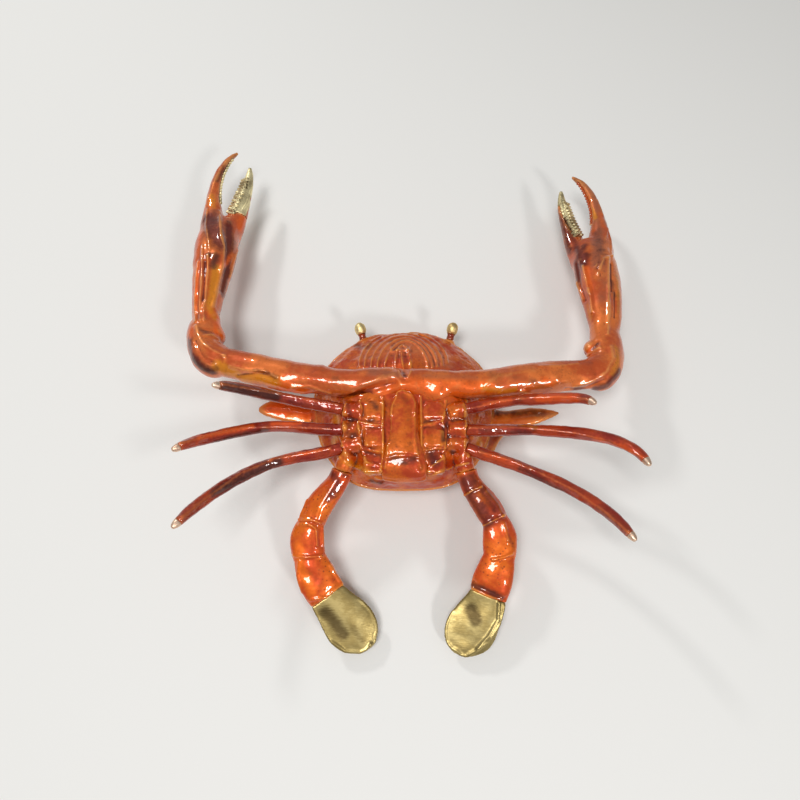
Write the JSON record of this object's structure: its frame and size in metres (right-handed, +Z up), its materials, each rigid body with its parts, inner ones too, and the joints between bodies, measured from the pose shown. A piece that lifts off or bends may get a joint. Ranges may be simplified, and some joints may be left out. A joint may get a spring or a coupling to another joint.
{
  "type": "crab figurine",
  "caption": "Cast metal crab figurine lying on its back, with raised claws, curled legs, paddle-ended swimming legs and a ribbed mouth.",
  "frame": {"origin": "on the table, inside the flat on the crown of the shell that the crab rests on, on the body's midline", "axes": "+Z up toward the belly, +Y toward the head and claws, +X to the right of someone who looks down on the belly"},
  "size_m": [0.2733, 0.3285, 0.0678],
  "materials": {
    "arm_patina": "bronze with brown-red patina, orange patches and dark facets under clear gloss lacquer",
    "bare_brass_teeth": "bare polished pale brass",
    "bare_bronze_leg_tips": "bare filed bronze",
    "belly_patina": "bronze with mottled orange and red-brown patina under thick clear gloss lacquer",
    "brushed_brass_paddles": "bare brushed pale brass",
    "leg_patina": "bronze with red to dark maroon patina under clear gloss lacquer",
    "polished_brass_eyes": "bare polished brass",
    "shell_patina": "bronze with translucent orange-brown patina under thick clear gloss lacquer",
    "stalk_patina": "bronze with dark red-brown patina under clear gloss lacquer",
    "swimming_leg_patina": "bronze with bright orange patina and dark specks under clear gloss lacquer"
  },
  "bodies": {
    "root": {"apron": "belly_patina", "breastplate": "belly_patina", "left_arm": "arm_patina", "left_arm_base": "arm_patina", "left_claw": "arm_patina", "left_claw_saw_teeth": "bare_brass_teeth", "left_eye": "polished_brass_eyes", "left_eye_stalk": "stalk_patina", "left_leg_1_lower": "leg_patina", "left_leg_1_tip": "bare_bronze_leg_tips", "left_leg_1_upper": "leg_patina", "left_leg_2_lower": "leg_patina", "left_leg_2_tip": "bare_bronze_leg_tips", "left_leg_2_upper": "leg_patina", "left_leg_3_lower": "leg_patina", "left_leg_3_tip": "bare_bronze_leg_tips", "left_leg_3_upper": "leg_patina", "left_paddle": "brushed_brass_paddles", "left_pincer": "arm_patina", "left_pincer_teeth": "bare_brass_teeth", "left_swim_knee": "swimming_leg_patina", "left_swim_shin": "swimming_leg_patina", "left_swim_thigh": "swimming_leg_patina", "left_wrist": "arm_patina", "mouth": "belly_patina", "right_arm": "arm_patina", "right_arm_base": "arm_patina", "right_claw": "arm_patina", "right_claw_saw_teeth": "bare_brass_teeth", "right_eye": "polished_brass_eyes", "right_eye_stalk": "stalk_patina", "right_leg_1_lower": "leg_patina", "right_leg_1_tip": "bare_bronze_leg_tips", "right_leg_1_upper": "leg_patina", "right_leg_2_lower": "leg_patina", "right_leg_2_tip": "bare_bronze_leg_tips", "right_leg_2_upper": "leg_patina", "right_leg_3_lower": "leg_patina", "right_leg_3_tip": "bare_bronze_leg_tips", "right_leg_3_upper": "leg_patina", "right_paddle": "brushed_brass_paddles", "right_pincer": "arm_patina", "right_pincer_teeth": "bare_brass_teeth", "right_swim_knee": "swimming_leg_patina", "right_swim_shin": "swimming_leg_patina", "right_swim_thigh": "swimming_leg_patina", "right_wrist": "arm_patina", "shell": "shell_patina"}
  },
  "joints": []
}
